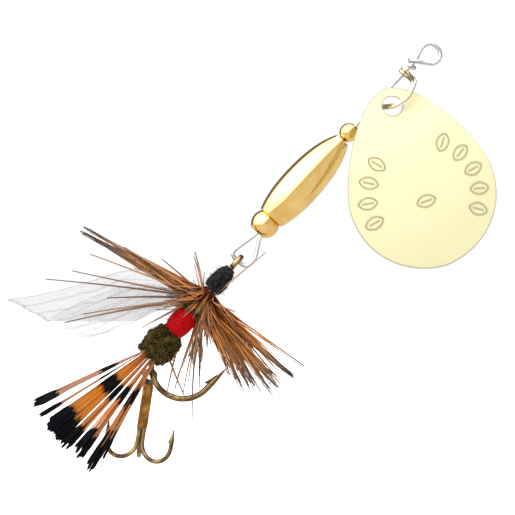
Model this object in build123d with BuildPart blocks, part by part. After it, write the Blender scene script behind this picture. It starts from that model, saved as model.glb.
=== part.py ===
from build123d import *
import os
from math import cos, radians, sin, sqrt, tau

os.makedirs("parts", exist_ok=True)

# Inline spinner, in millimetres. It is drawn with the shaft along Z and the line eye at the top. The origin
# is on the shaft's axis inside the line eye, and the blade, fly and hooks lie in the XZ plane. save() then
# leans every piece about Y, so that the blade and the treble hang almost plumb from the slanting shaft.

# ---- driving dimensions --------------------------------------------------------------------------
shaft_lean = 42.6  # degrees of the shaft from upright, its line eye toward +X
running_gap = 0.05  # radial clearance of everything that turns on the shaft
wire_r = 0.33  # shaft wire
bore_r = wire_r + running_gap
wrap_r = 0.74  # centre line of the tag's turn around the shaft

strand_r = 0.275  # each of the clevis's two strands
strand_pitch = 0.5
eyelet_r = bore_r + strand_r
upper_eyelet_z = -5.2
lower_eyelet_z = -12.5

blade_length = 30.9
blade_width = 24.4
blade_thickness = 0.6
blade_tilt = 61.1  # degrees from hanging straight down
blade_narrow = 0.571  # share of the length above the widest place
blade_crown_y = -7.4
rim_points = 28
cup_radius = 32.0  # the sphere that the blade is pressed to
blade_hole_r = 1.65
blade_hole_inset = 3.2
blade_hole = (2.29, -11.14)  # X and Z of the hole's centre

upper_bead_r = 1.6
upper_bead_z = -18.86
body_top_z = -20.55
body_bottom_z = -38.1
body_radii = [(-20.55, 1.3), (-23.3, 2.45), (-26.6, 3.12), (-30.8, 3.37), (-35.0, 3.08), (-38.1, 2.3)]
lower_bead_r = 2.38
lower_bead_z = -39.5
tag_bore_r = 1.25

loop_bottom_z = -47.1
shank_x = 0.8  # the fly's axis
hook_r = 0.5
hook_eye_r = 1.03
hook_eye_wire_r = 0.4
hook_eye_z = -47.35
bend_r = 5.3
bend_z = -66.3
point_tip_z = -61.25

thread_r = 0.72
head_z = (-48.85, -53.6)
stem_z = (-53.7, -57.0)
front_herl_z = (-57.0, -58.8)
floss_z = (-58.8, -63.2)
rear_herl_z = (-63.2, -69.2)
thread_z = (-53.6, -64.2)
lashing_z = (-64.2, -66.8)

treble_eye = (3.0, 1.7, -71.3)
treble_tilt = 34.0
treble_wire_r = 0.375
treble_eye_r = 0.95
treble_bend_r = 2.87
treble_bend_t = 11.0  # distance down the shank to the bend's centre
treble_tip_t = 7.65
treble_shank_offset = 0.46
braze_r = 0.95
braze_t = (1.45, 9.0)

link_r = 0.22
link_y = (0.95, 2.45)


def save(piece, name):
    """Leans a finished piece with the shaft, labels it and writes its STEP file."""
    leaned = piece.part.rotate(Axis.Y, shaft_lean)
    leaned.label = name
    export_step(leaned, f"parts/{name}.step")


def sweep_round(points, radii, wire_radius):
    """A round wire along straight runs joined by tangent arcs, in the current part."""
    with BuildLine(mode=Mode.PRIVATE) as route:
        FilletPolyline(*points, radius=radii)
    with BuildSketch(Plane(origin=route.line @ 0, z_dir=route.line % 0), mode=Mode.PRIVATE) as section:
        Circle(wire_radius)
    sweep(sections=section.sketch, path=route.line)


def on_shank(z):
    """A level plane centred on the fly's shank at height z."""
    return Plane(origin=(shank_x, 0, z), z_dir=(0, 0, 1))


# ---- shaft wire with its line eye, wrap, and lower loop ------------------------------------------
tag_top = [(0.8, 0, -40.6), (0.82, 0, -41.7)]
lower_loop = [(2.75, 0, -44.9), (2.7, 0, loop_bottom_z), (-1.0, 0, loop_bottom_z), (0, 0, -42.0)]
line_eye = [
    (0, 0, -2.3), (-0.55, 0, -0.6), (-0.6, 0, 0.8), (0.3, 0, 1.55), (1.9, 0, 1.5), (2.85, 0, 0.6), (2.7, 0, -0.9),
]
crossing = [(1.3, -0.35, -1.85), (0.35, -0.8, -2.55)]
turn_points = [
    (-wrap_r * 1.05 * sin(radians(a)), -wrap_r * 1.05 * cos(radians(a)), -2.75 - 1.3 * a / 420)
    for a in range(45, 421, 45)
]
with BuildPart() as shaft_wire:
    sweep_round(
        tag_top + lower_loop + line_eye + crossing + turn_points,
        [2.0, 2.5, 1.1, 0.8, 3.0, 2.5, 1.5, 0.9, 1.1, 1.0, 1.0, 0.9, 0.9, 0.5] + [0.6] * (len(turn_points) - 1),
        wire_r,
    )
save(shaft_wire, "shaft_wire")

# ---- clevis: two coiled eyelets on the shaft, joined by a twin-strand arm through the blade ------
arm = [
    (0.4, -0.55, upper_eyelet_z),
    (2.3, -4.3, -5.75),
    (3.25, -5.7, -8.6),
    (2.6, -5.2, -11.0),
    (1.6, -2.6, -11.9),
    (0.4, -0.6, lower_eyelet_z),
]
with BuildPart() as clevis:
    with BuildLine(mode=Mode.PRIVATE) as arm_route:
        FilletPolyline(*arm, radius=[1.8, 1.8, 1.5, 2.0])
    with BuildSketch(
        Plane(origin=arm_route.line @ 0, x_dir=(0, 0, 1), z_dir=arm_route.line % 0), mode=Mode.PRIVATE
    ) as twin:
        with GridLocations(strand_pitch, 0, 2, 1):
            Circle(strand_r)
    sweep(sections=twin.sketch, path=arm_route.line)
    for eyelet_z in (upper_eyelet_z, lower_eyelet_z):
        with Locations((0, 0, eyelet_z - strand_pitch / 2), (0, 0, eyelet_z + strand_pitch / 2)):
            Torus(eyelet_r, strand_r)
save(clevis, "clevis")

# ---- blade: a pear-shaped disc pressed into a shallow cup, hollow side to the shaft --------------
along = (sin(radians(blade_tilt)), 0, -cos(radians(blade_tilt)))
across = (cos(radians(blade_tilt)), 0, sin(radians(blade_tilt)))
narrow_run = blade_length * blade_narrow
wide_run = blade_length - narrow_run
crown = Vector(blade_hole[0], blade_crown_y, blade_hole[1]) + Vector(*along) * (narrow_run - blade_hole_inset)


def rim_point(turn):
    """A point of the blade's outline, for a turn round it from the middle of its wide end."""
    reach, power, roundness = (wide_run, 2.29, 1.8) if cos(turn) > 0 else (narrow_run, 1.37, 1.67)
    half_width = blade_width / 2 * (1 - abs(cos(turn)) ** power) ** (1 / roundness)
    return (reach * cos(turn), half_width if sin(turn) > 0 else -half_width)


blade_face = Plane(origin=crown, x_dir=along, z_dir=(0, -1, 0))
with BuildPart() as blade:
    with BuildSketch(blade_face.offset(1)):
        with BuildLine():
            Spline([rim_point(tau * k / rim_points) for k in range(rim_points)], periodic=True)
        make_face()
        with Locations((blade_hole_inset - narrow_run, 0)):
            Circle(blade_hole_r, mode=Mode.SUBTRACT)
    extrude(amount=-12)
    with Locations(crown + Vector(0, cup_radius, 0)):
        Sphere(cup_radius, mode=Mode.INTERSECT)
        Sphere(cup_radius - blade_thickness, mode=Mode.SUBTRACT)
save(blade, "blade")

# ---- beads and weighted body ---------------------------------------------------------------------
with BuildPart() as upper_bead:
    with Locations((0, 0, upper_bead_z)):
        Sphere(upper_bead_r)
        Cylinder(bore_r, 3 * upper_bead_r, mode=Mode.SUBTRACT)
save(upper_bead, "upper_bead")

with BuildPart() as body_weight:
    with BuildSketch(Plane.XZ):
        with BuildLine():
            Spline([(r, z) for z, r in body_radii])
            Polyline((body_radii[-1][1], body_bottom_z), (0, body_bottom_z), (0, body_top_z), (1.3, body_top_z))
        make_face()
    revolve(axis=Axis.Z)
    with Locations((0, 0, (body_top_z + body_bottom_z) / 2)):
        Cylinder(bore_r, 30, mode=Mode.SUBTRACT)
    with Locations((0, 0, lower_bead_z)):
        Sphere(lower_bead_r + running_gap, mode=Mode.SUBTRACT)
save(body_weight, "body_weight")

with BuildPart() as lower_bead:
    with Locations((0, 0, lower_bead_z)):
        Sphere(lower_bead_r)
        Cylinder(bore_r, 3 * lower_bead_r, mode=Mode.SUBTRACT)
    with Locations((0, 0, -40.2)):
        Cylinder(tag_bore_r, 3, align=(Align.CENTER, Align.CENTER, Align.MAX), mode=Mode.SUBTRACT)
save(lower_bead, "lower_bead")

# ---- fly hook: ringed eye across the loop, long shank, round bend, barbed point ------------------
point_x = shank_x + 2 * bend_r
with BuildPart() as fly_hook:
    with Locations((shank_x, 0, hook_eye_z)):
        Torus(hook_eye_r, hook_eye_wire_r, rotation=(0, 90, 0))
    with BuildLine(Plane.XZ, mode=Mode.PRIVATE) as hook_route:
        Line((shank_x, hook_eye_z - hook_eye_r), (shank_x, bend_z))
        CenterArc((shank_x + bend_r, bend_z), bend_r, 180, 180)
        Line((point_x, bend_z), (point_x, bend_z + 1.2))
    with BuildSketch(on_shank(hook_eye_z - hook_eye_r), mode=Mode.PRIVATE) as hook_section:
        Circle(hook_r)
    sweep(sections=hook_section.sketch, path=hook_route.line)
    with Locations((point_x, 0, bend_z + 1.2)):
        Cone(hook_r, 0.04, point_tip_z - bend_z - 1.2, align=(Align.CENTER, Align.CENTER, Align.MIN))
    with BuildSketch(Plane.XZ):
        with BuildLine():
            Polyline(
                (point_x, bend_z + 2.9),
                (point_x - 0.95, bend_z + 0.1),
                (point_x - 0.45, bend_z + 1.0),
                (point_x, bend_z + 1.0),
                close=True,
            )
        make_face()
    extrude(amount=0.14, both=True)
save(fly_hook, "fly_hook")

# ---- wire link that carries the treble, and its lashing to the shank -----------------------------
link_bottom = (treble_eye[0] - 0.34 * sin(radians(treble_tilt)), treble_eye[2] + 0.34 * cos(radians(treble_tilt)))
with BuildPart() as stinger_link:
    sweep_round(
        [
            (shank_x, link_y[0], -65.0),
            (shank_x, link_y[0], -68.2),
            (link_bottom[0], link_y[0], link_bottom[1]),
            (link_bottom[0], link_y[1], link_bottom[1]),
            (shank_x, link_y[0] + 0.47, -68.2),
            (shank_x, link_y[0] + 0.47, -65.0),
        ],
        [1.5, 0.34, 0.34, 1.5],
        link_r,
    )
save(stinger_link, "stinger_link")

with BuildPart() as link_lashing:
    with BuildSketch(Plane(origin=(shank_x, 0.45, lashing_z[1]), z_dir=(0, 0, 1))):
        Ellipse(0.9, 1.4)
    extrude(amount=lashing_z[0] - lashing_z[1])
    add(fly_hook.part, mode=Mode.SUBTRACT)
    add(stinger_link.part, mode=Mode.SUBTRACT)
save(link_lashing, "link_lashing")

# ---- dressing of the fly, from the shank outwards ------------------------------------------------
with BuildPart() as thread_base:
    with BuildSketch(on_shank(thread_z[1])):
        Circle(thread_r)
        Circle(hook_r, mode=Mode.SUBTRACT)
    extrude(amount=thread_z[0] - thread_z[1])
save(thread_base, "thread_base")

tail_root_z = -67.0
with BuildPart() as tail:
    with BuildSketch(Plane(origin=(0, -1.3, tail_root_z), x_dir=(1, 0, 0), z_dir=(0, -1, 0.14))):
        with BuildLine():
            Polyline((-0.2, 0), (1.6, 0), (5.2, -22.9), (-2.3, -23.2), (-8.1, -21.2), close=True)
        make_face()
    extrude(amount=0.7, both=True)
save(tail, "tail")

wing_outlines = {
    "near_wing": [
        (0.2, -57.2), (-9.6, -59.6), (-14.4, -65.2), (-22.6, -77.3), (-16.7, -76.3), (-6.0, -66.5), (-1.2, -58.9),
    ],
    "far_wing": [
        (0.2, -57.2), (-8.0, -60.5), (-14.0, -69.0), (-16.2, -75.6), (-9.6, -74.2), (-5.6, -66.5), (-1.2, -58.9),
    ],
}
wing_thickness = 0.2
wings = {}
for wing_name, outline in wing_outlines.items():
    side = -1 if wing_name == "near_wing" else 1
    wing_plane = Plane(origin=(0, side * 0.95, 0), x_dir=(1, -side * 0.07, 0), z_dir=(-side * 0.07, -1, 0))
    with BuildPart() as wing:
        with BuildSketch(wing_plane):
            with BuildLine():
                Polyline(*outline, close=True)
            make_face()
        extrude(amount=wing_thickness / 2, both=True)
    save(wing, wing_name)
    wings[wing_name] = wing.part

with BuildPart() as rear_herl:
    with BuildSketch(Plane(origin=(shank_x, 0, 0), x_dir=(1, 0, 0), z_dir=(0, -1, 0))):
        with Locations((0, (rear_herl_z[0] + rear_herl_z[1]) / 2)):
            Ellipse(3.25, 3.6)
        with Locations((0, (rear_herl_z[0] + rear_herl_z[1]) / 2)):
            Rectangle(10, rear_herl_z[0] - rear_herl_z[1], mode=Mode.INTERSECT)
        with Locations((-5, -66)):
            Rectangle(10, 20, mode=Mode.SUBTRACT)
    revolve(axis=Axis((shank_x, 0, 0), (0, 0, 1)))
    for inner in (fly_hook, stinger_link, link_lashing, thread_base, tail):
        add(inner.part, mode=Mode.SUBTRACT)
save(rear_herl, "rear_herl")

with BuildPart() as floss_band:
    with BuildSketch(Plane(origin=(shank_x, 0, 0), x_dir=(1, 0, 0), z_dir=(0, -1, 0))):
        with BuildLine():
            ThreePointArc((1.6, floss_z[1]), (2.05, (floss_z[0] + floss_z[1]) / 2), (1.6, floss_z[0]))
            Polyline((1.6, floss_z[0]), (thread_r, floss_z[0]), (thread_r, floss_z[1]), (1.6, floss_z[1]))
        make_face()
    revolve(axis=Axis((shank_x, 0, 0), (0, 0, 1)))
save(floss_band, "floss_band")

with BuildPart() as front_herl:
    with BuildSketch(on_shank(front_herl_z[1])):
        Circle(2.5)
        Circle(thread_r, mode=Mode.SUBTRACT)
    extrude(amount=front_herl_z[0] - front_herl_z[1])
    for wing_part in wings.values():
        add(wing_part, mode=Mode.SUBTRACT)
save(front_herl, "front_herl")

with BuildPart() as hackle_stem:
    with BuildSketch(on_shank(stem_z[1])):
        Circle(1.25)
        Circle(thread_r, mode=Mode.SUBTRACT)
    extrude(amount=stem_z[0] - stem_z[1])
save(hackle_stem, "hackle_stem")

hackle_outline = [
    (-0.6, -53.8), (2.2, -53.8), (21.0, -52.4), (22.2, -57.4), (14.0, -60.6), (5.4, -58.9), (3.4, -56.9),
    (-0.8, -56.9), (-10.0, -58.1), (-21.8, -61.4), (-22.4, -59.4), (-10.0, -55.4),
]
with BuildPart() as hackle:
    with BuildSketch(Plane.XZ):
        with BuildLine():
            Polyline(*hackle_outline, close=True)
        make_face()
    extrude(amount=1.3, both=True)
    with BuildSketch(on_shank(stem_z[1])):
        Circle(1.25)
    extrude(amount=5, mode=Mode.SUBTRACT)
save(hackle, "hackle")

with BuildPart() as head_wraps:
    with BuildSketch(Plane(origin=(shank_x, 0, 0), x_dir=(1, 0, 0), z_dir=(0, -1, 0))):
        with BuildLine():
            Spline([(0.95, head_z[0]), (1.45, -50.1), (1.72, -51.9), (1.5, head_z[1])])
            Polyline((1.5, head_z[1]), (hook_r, head_z[1]), (hook_r, head_z[0]), (0.95, head_z[0]))
        make_face()
    revolve(axis=Axis((shank_x, 0, 0), (0, 0, 1)))
save(head_wraps, "head_wraps")

# ---- treble: a double hook with the eye, a single hook beside it, and the braze between ----------
down = Vector(sin(radians(treble_tilt)), 0, -cos(radians(treble_tilt)))
sideways = Vector(cos(radians(treble_tilt)), 0, sin(radians(treble_tilt)))
front = Vector(0, -1, 0)
treble_gape = treble_shank_offset + 2 * treble_bend_r


def treble_hook(azimuth, start_t):
    """One barbed hook, its bend opening outwards at azimuth degrees from the front."""
    outwards = sideways * sin(radians(azimuth)) + front * cos(radians(azimuth))
    face = Plane(origin=treble_eye, x_dir=outwards, z_dir=outwards.cross(-down))
    with BuildLine(face, mode=Mode.PRIVATE) as route:
        Line((treble_shank_offset, -start_t), (treble_shank_offset, -treble_bend_t))
        CenterArc((treble_shank_offset + treble_bend_r, -treble_bend_t), treble_bend_r, 180, 180)
        Line((treble_gape, -treble_bend_t), (treble_gape, 0.8 - treble_bend_t))
    with BuildSketch(Plane(origin=route.line @ 0, z_dir=route.line % 0), mode=Mode.PRIVATE) as section:
        Circle(treble_wire_r)
    sweep(sections=section.sketch, path=route.line)
    with Locations(Plane(origin=route.line @ 1, z_dir=-down)):
        Cone(
            treble_wire_r,
            0.03,
            treble_bend_t - 0.8 - treble_tip_t,
            align=(Align.CENTER, Align.CENTER, Align.MIN),
        )
    with BuildSketch(face, mode=Mode.PRIVATE) as barb:
        with BuildLine():
            Polyline(
                (treble_gape, 2.0 - treble_bend_t),
                (treble_gape - 0.62, 0.5 - treble_bend_t),
                (treble_gape, 0.6 - treble_bend_t),
                close=True,
            )
        make_face()
    extrude(to_extrude=barb.sketch, amount=0.1, both=True)


with BuildPart() as treble_double_hook:
    with Locations(treble_eye):
        Torus(treble_eye_r, treble_wire_r - 0.015, rotation=(90, 0, 0))
    treble_hook(60, treble_eye_r - 0.15)
    treble_hook(-60, treble_eye_r - 0.15)
save(treble_double_hook, "treble_double_hook")

with BuildPart() as treble_single_hook:
    treble_hook(180, braze_t[0])
save(treble_single_hook, "treble_single_hook")

with BuildPart() as treble_braze:
    with BuildSketch(Plane(origin=Vector(*treble_eye) + down * braze_t[0], z_dir=down)):
        Circle(braze_r)
    extrude(amount=braze_t[1] - braze_t[0])
    add(treble_double_hook.part, mode=Mode.SUBTRACT)
    add(treble_single_hook.part, mode=Mode.SUBTRACT)
save(treble_braze, "treble_braze")
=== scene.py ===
import math

import bpy
import numpy as np
from mathutils import Matrix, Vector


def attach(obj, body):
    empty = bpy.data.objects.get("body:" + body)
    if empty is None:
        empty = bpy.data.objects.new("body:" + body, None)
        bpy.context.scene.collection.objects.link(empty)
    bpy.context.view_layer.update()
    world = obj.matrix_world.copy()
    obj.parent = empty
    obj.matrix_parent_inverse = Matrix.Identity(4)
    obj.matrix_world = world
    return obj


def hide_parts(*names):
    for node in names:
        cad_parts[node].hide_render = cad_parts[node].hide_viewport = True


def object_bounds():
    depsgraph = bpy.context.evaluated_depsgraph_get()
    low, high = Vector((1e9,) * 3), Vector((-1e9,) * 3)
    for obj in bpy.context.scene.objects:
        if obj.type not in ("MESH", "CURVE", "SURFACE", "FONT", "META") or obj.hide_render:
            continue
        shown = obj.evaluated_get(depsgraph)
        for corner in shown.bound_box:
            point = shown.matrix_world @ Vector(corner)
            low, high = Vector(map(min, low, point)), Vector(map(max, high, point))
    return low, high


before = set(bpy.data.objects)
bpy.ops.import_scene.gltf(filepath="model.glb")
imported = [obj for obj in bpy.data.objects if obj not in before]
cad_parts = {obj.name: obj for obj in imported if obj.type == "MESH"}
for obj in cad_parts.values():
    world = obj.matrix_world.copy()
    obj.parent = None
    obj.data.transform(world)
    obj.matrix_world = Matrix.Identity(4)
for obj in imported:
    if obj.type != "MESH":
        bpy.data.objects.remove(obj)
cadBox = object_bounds()
print("frame loaded:", len(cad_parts), "nodes")

mm = 0.001
turn = 2 * math.pi
lean = math.radians(42.6)  # the shaft's lean from upright; pieces are worked out with the shaft along Z


def stacked(*parts):
    return np.stack(np.broadcast_arrays(*parts), -1)


def leaned(points):
    # the CAD's lean about Y: x' = x cos + z sin, z' = z cos - x sin
    c, s = math.cos(lean), math.sin(lean)
    x, y, z = np.moveaxis(points, -1, 0)
    return stacked(x * c + z * s, y, z * c - x * s)


def connect(tree, place, item):
    if isinstance(item, Val):
        tree.links.new(item.socket, place)
    else:
        place.default_value = item


def mathMethod(operation, swapped=False):
    return lambda self, other: self.calc(operation, *((other, self) if swapped else (self, other)))


# shader maths: a wrapped socket, whose sums and products add Math nodes
class Val:
    def __init__(self, tree, socket):
        self.tree = tree
        self.socket = socket

    def calc(self, operation, *terms):
        node = self.tree.nodes.new("ShaderNodeMath")
        node.operation = operation
        for place, term in zip(node.inputs, terms):
            connect(self.tree, place, term)
        return Val(self.tree, node.outputs[0])

    __add__, __radd__ = mathMethod("ADD"), mathMethod("ADD", True)
    __sub__, __rsub__ = mathMethod("SUBTRACT"), mathMethod("SUBTRACT", True)
    __mul__, __rmul__ = mathMethod("MULTIPLY"), mathMethod("MULTIPLY", True)
    __pow__ = mathMethod("POWER")

    def clamp(self):
        return self.calc("MINIMUM", self.calc("MAXIMUM", self, 0.0), 1.0)

    def sine(self):
        return self.calc("SINE", self)


class Finish:
    # one material or sky: node() adds a node, and shader() sets a material's main inputs
    def __init__(self, name, owners=bpy.data.materials, coords="Object"):
        self.owner = owners.new(name)
        self.owner.use_nodes = True
        self.tree = self.owner.node_tree
        self.coords = self.upright(self.node("ShaderNodeTexCoord", out=coords))

    def upright(self, place):
        # coordinates in which the shaft runs along Z
        return self.node("ShaderNodeMapping", sockets={"Vector": place, "Rotation": (0, -lean, 0)})

    def split(self, place, axis):
        return self.node("ShaderNodeSeparateXYZ", sockets={"Vector": place}, out=axis)

    def node(self, kind, settings=None, sockets=None, out=0):
        made = self.tree.nodes.new(kind)
        for key, value in (settings or {}).items():
            if key == "stops":
                ramp = made.color_ramp.elements
                while len(ramp) < len(value):
                    ramp.new(0.5)
                for stop, (place, colour) in zip(ramp, value):
                    stop.position = place
                    stop.color = (*colour, 1.0)
            else:
                setattr(made, key, value)
        for key, value in (sockets or {}).items():
            connect(self.tree, made.inputs[key], value)
        return Val(self.tree, made.outputs[out]) if made.outputs else made

    def noise(self, scale, detail=3.0, stretch=(1, 1, 1), rough=0.5):
        place = self.coords
        if stretch != (1, 1, 1):
            place = self.node("ShaderNodeMapping", sockets={"Vector": self.coords, "Scale": stretch})
        wants = {"Vector": place, "Scale": scale, "Detail": detail, "Roughness": rough}
        return self.node("ShaderNodeTexNoise", sockets=wants, out="Fac")

    def ramp(self, value, stops):
        return self.node("ShaderNodeValToRGB", {"stops": stops}, {"Fac": value}, out="Color")

    def mix(self, share, first, second, how="MIX"):
        wants = {0: share, 6: first, 7: second}
        return self.node("ShaderNodeMix", {"data_type": "RGBA", "blend_type": how}, wants, out=2)

    def attribute(self, name):
        return self.node("ShaderNodeAttribute", {"attribute_name": name}, out="Fac")

    def bump(self, height, strength, distance):
        wants = {"Height": height, "Strength": strength, "Distance": distance}
        return self.node("ShaderNodeBump", sockets=wants)

    def shader(self, **inputs):
        principled = self.tree.nodes["Principled BSDF"]
        for key, value in inputs.items():
            words = "".join(" " + c if c.isupper() else c for c in key).replace("I O R", "IOR")
            connect(self.tree, principled.inputs[words[0].upper() + words[1:]], value)
        return self.owner


# shapes
def circle(count):
    return np.linspace(0, turn, count, endpoint=False)


def polar(r, a, z, x=0.0):
    return stacked(x + r * np.cos(a), r * np.sin(a), z)


def unit(v):
    return v / np.linalg.norm(v, axis=-1, keepdims=True)


def gridFaces(rows, cols, aroundRows=False, aroundCols=True):
    # quads between neighbouring points of a grid, joined round where asked
    i = np.arange(rows if aroundRows else rows - 1)[:, None]
    j = np.arange(cols if aroundCols else cols - 1)[None, :]
    k, m = (i + 1) % rows, (j + 1) % cols
    return stacked(i * cols + j, i * cols + m, k * cols + m, k * cols + j).reshape(-1, 4)


def capFaces(rows, cols):
    # a fan from one extra point at each end of a tube, numbered after the grid
    j, last = np.arange(cols), (rows - 1) * cols
    m = (j + 1) % cols
    return np.concatenate([stacked(rows * cols, m, j), stacked(rows * cols + 1, last + j, last + m)])


def signedVolume(points, faces):
    # a closed surface's volume: the sum of its wedges towards the origin
    tris = np.concatenate([faces[:, [0, 1, 2]], faces[:, [0, 2, 3]]]) if faces.shape[1] == 4 else faces
    a, b, c = (points[tris[:, n]] for n in range(3))
    return np.einsum("ij,ij->", a, np.cross(b, c)) / 6


def addPiece(name, parts, body, node, slotName, attributes=None, uv=None):
    # each part is points in mm and one or two arrays of faces, which are turned outwards
    points, loops, sizes, base = [], [], [], 0
    for own, *shapes in parts:
        shapes = [faces for faces in shapes if len(faces)]
        inward = sum(signedVolume(own, faces) for faces in shapes) < 0
        for faces in shapes:
            loops.append(((faces[:, ::-1] if inward else faces) + base).ravel())
            sizes.append(np.full(len(faces), faces.shape[1]))
        points.append(own)
        base += len(own)
    points, loops, sizes = (np.concatenate(k) for k in (points, loops, sizes))
    points = leaned(points) * mm
    mesh = bpy.data.meshes.new(name)
    mesh.vertices.add(len(points))
    mesh.vertices.foreach_set("co", points.astype(np.float32).ravel())
    mesh.loops.add(len(loops))
    mesh.loops.foreach_set("vertex_index", loops.astype(np.int32))
    mesh.polygons.add(len(sizes))
    mesh.polygons.foreach_set("loop_start", (np.cumsum(sizes) - sizes).astype(np.int32))
    mesh.shade_smooth()
    mesh.update(calc_edges=True)
    mesh.validate()
    for key, values in (attributes or {}).items():
        layer = mesh.attributes.new(key, "FLOAT", "POINT")
        layer.data.foreach_set("value", np.asarray(values, np.float32).ravel())
    if uv is not None:
        layer = mesh.uv_layers.new(name="UVMap")
        corner = np.empty(len(mesh.loops), np.int32)
        mesh.loops.foreach_get("vertex_index", corner)
        layer.uv.foreach_set("vector", uv.reshape(-1, 2)[corner].astype(np.float32).ravel())
    mesh.materials.append(materials[slotName])
    piece = bpy.data.objects.new(name, mesh)
    bpy.context.collection.objects.link(piece)
    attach(piece, body)
    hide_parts(node)


def roundedRoute(corners, radii, step=0.06, perArc=12):
    # straight runs joined by tangent arcs, then points at even steps along it
    corners = [np.array(c, float) for c in corners]
    route = [corners[0]]
    for before, corner, after, radius in zip(corners, corners[1:], corners[2:], radii):
        a, b = unit(before - corner), unit(after - corner)
        half = math.acos(np.clip(a @ b, -1, 1)) / 2
        reach = radius / math.tan(half)
        centre = corner + unit(a + b) * radius / math.sin(half)
        p, q = corner + a * reach - centre, corner + b * reach - centre
        sweep = math.acos(np.clip(p @ q / radius**2, -1, 1))
        s = np.linspace(0, 1, perArc)[:, None]
        route.extend(centre + (p * np.sin((1 - s) * sweep) + q * np.sin(s * sweep)) / math.sin(sweep))
    route.append(corners[-1])
    return evenly(np.array(route), step)


def evenly(route, step):
    run = np.concatenate([[0], np.cumsum(np.linalg.norm(np.diff(route, axis=0), axis=1))])
    places = np.linspace(0, run[-1], max(4, int(run[-1] / step)))
    return stacked(*(np.interp(places, run, k) for k in route.T))


def softened(route, reach):
    # each point becomes the mean of its neighbours within reach, and the ends stay
    padded = np.concatenate([np.repeat(route[:1], reach, 0), route, np.repeat(route[-1:], reach, 0)])
    kernel = np.ones(2 * reach + 1) / (2 * reach + 1)
    return stacked(*(np.convolve(k, kernel, "valid") for k in padded.T))


def frames(route):
    # side vectors carried along the route without twist
    along = unit(np.gradient(route, axis=0))
    side = np.empty_like(along)
    start = np.cross(along[0], (0.0, 1.0, 0.0))
    side[0] = unit(start if np.linalg.norm(start) > 0.2 else np.cross(along[0], (1.0, 0.0, 0.0)))
    for i in range(1, len(along)):
        side[i] = unit(side[i - 1] - along[i] * (side[i - 1] @ along[i]))
    return along, side, np.cross(along, side)


def closedTube(points, ends):
    # a tube's grid of points, closed by a fan to one more point at each end
    rows, cols = points.shape[:2]
    return np.concatenate([points.reshape(-1, 3), ends]), gridFaces(rows, cols), capFaces(rows, cols)


def tube(route, radius, sides=20):
    # point(s, a) = route(s) + radius(s) * (side * cos a + up * sin a)
    along, side, up = frames(route)
    a = circle(sides)[:, None]
    ring = side[:, None] * np.cos(a) + up[:, None] * np.sin(a)
    return closedTube(route[:, None] + radius[:, None, None] * ring, route[[0, -1]])


def roundedEnds(count, radius, reach=6):
    # a tube's radius, drawn in over a few points at each end
    share = np.ones(count)
    drawn = np.sqrt(1 - (1 - (np.arange(reach) + 0.4) / reach) ** 2)
    share[:reach], share[-reach:] = drawn, drawn[::-1]
    return radius * share


def ringSolid(points):
    # a grid whose rows join round as well as its columns
    rows, cols = points.shape[:2]
    return points.reshape(-1, 3), gridFaces(rows, cols, aroundRows=True)


def lathe(profile, sides):
    # point(z, a) = (r(z) cos a, r(z) sin a, z) for a profile that is a closed loop
    r, z = np.array(profile, float).T[..., None]
    return ringSolid(polar(r, circle(sides), z))


def repeatedFaces(count, rows, cols):
    # the faces of several closed tubes or balls, one after the other
    shift = (np.arange(count) * (rows * cols + 2))[:, None, None]
    return (gridFaces(rows, cols) + shift).reshape(-1, 4), (capFaces(rows, cols) + shift).reshape(-1, 3)


def fibres(root, way, bend, length, radius, shape, segments=9, sides=4):
    # centre(s) = root + length * (way * s + bend * s^2); the section is a polygon of radius * shape(s)
    s = np.linspace(0, 1, segments)[None, :, None]
    centre = root[:, None] + length[:, None, None] * (way[:, None] * s + bend[:, None] * s**2)
    along = unit(way[:, None] + 2 * bend[:, None] * s)
    flat = unit(np.cross(way, bend + 1e-6 * np.array([0.3, 1.0, 0.2])))[:, None]
    side = np.cross(flat, along)
    a = circle(sides)[:, None]
    thick = radius[:, None] * shape(s[..., 0])
    ring = side[:, :, None] * np.cos(a) + flat[:, :, None] * np.sin(a)
    points = (centre[:, :, None] + thick[:, :, None, None] * ring).reshape(len(root), -1, 3)
    points = np.concatenate([points, centre[:, :1], centre[:, -1:]], 1)
    run = np.tile(np.concatenate([np.repeat(s[0, :, 0], sides), [0.0, 1.0]]), (len(root), 1))
    return points.reshape(-1, 3), *repeatedFaces(len(root), segments, sides), run


# camera and light
view = {"centre": (-28.01, -34.67), "width": 85.83, "lens": 120, "sensor": 36, "nearClip": 0.01,
        "aim": (-28, 0, -35)}


def makeCamera():
    cam = bpy.data.objects.new("camera", bpy.data.cameras.new("camera"))
    bpy.context.collection.objects.link(cam)
    cam.data.lens, cam.data.sensor_width, cam.data.clip_start = view["lens"], view["sensor"], view["nearClip"]
    distance = view["width"] * view["lens"] / view["sensor"] * mm
    x, z = view["centre"]
    cam.matrix_world = Matrix(((1, 0, 0, x * mm), (0, 0, -1, -distance), (0, 1, 0, z * mm), (0, 0, 0, 1)))
    bpy.context.scene.camera = cam


def makeLight(name, place, size, power):
    lamp = bpy.data.lights.new(name, "AREA")
    lamp.size = size * mm
    lamp.energy = power
    holder = bpy.data.objects.new(name, lamp)
    bpy.context.collection.objects.link(holder)
    back = unit(np.subtract(place, view["aim"]))
    side = unit(np.cross((0.1, 0.2, 1.0), back))
    up = np.cross(back, side)
    holder.matrix_world = Matrix(
        [[side[k], up[k], back[k], place[k] * mm] for k in range(3)] + [[0, 0, 0, 1]])


studio = {"seen": 1.02, "front": 1.2, "back": 0.45, "edges": 0.2, "below": 0.8, "softbox": 3.2,
          "rightSide": 0.82, "frontAt": 0.62, "frontSlope": 0.95, "lowAt": 0.15, "lowSlope": 0.7,
          # edges in degrees round the shaft from the camera, left positive
          "soften": 14, "boxEdges": (16, 112), "darkCard": (-98, -84), "greyCard": (-9, -2),
          "darkShare": 0.8, "greyShare": 0.25}


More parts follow.
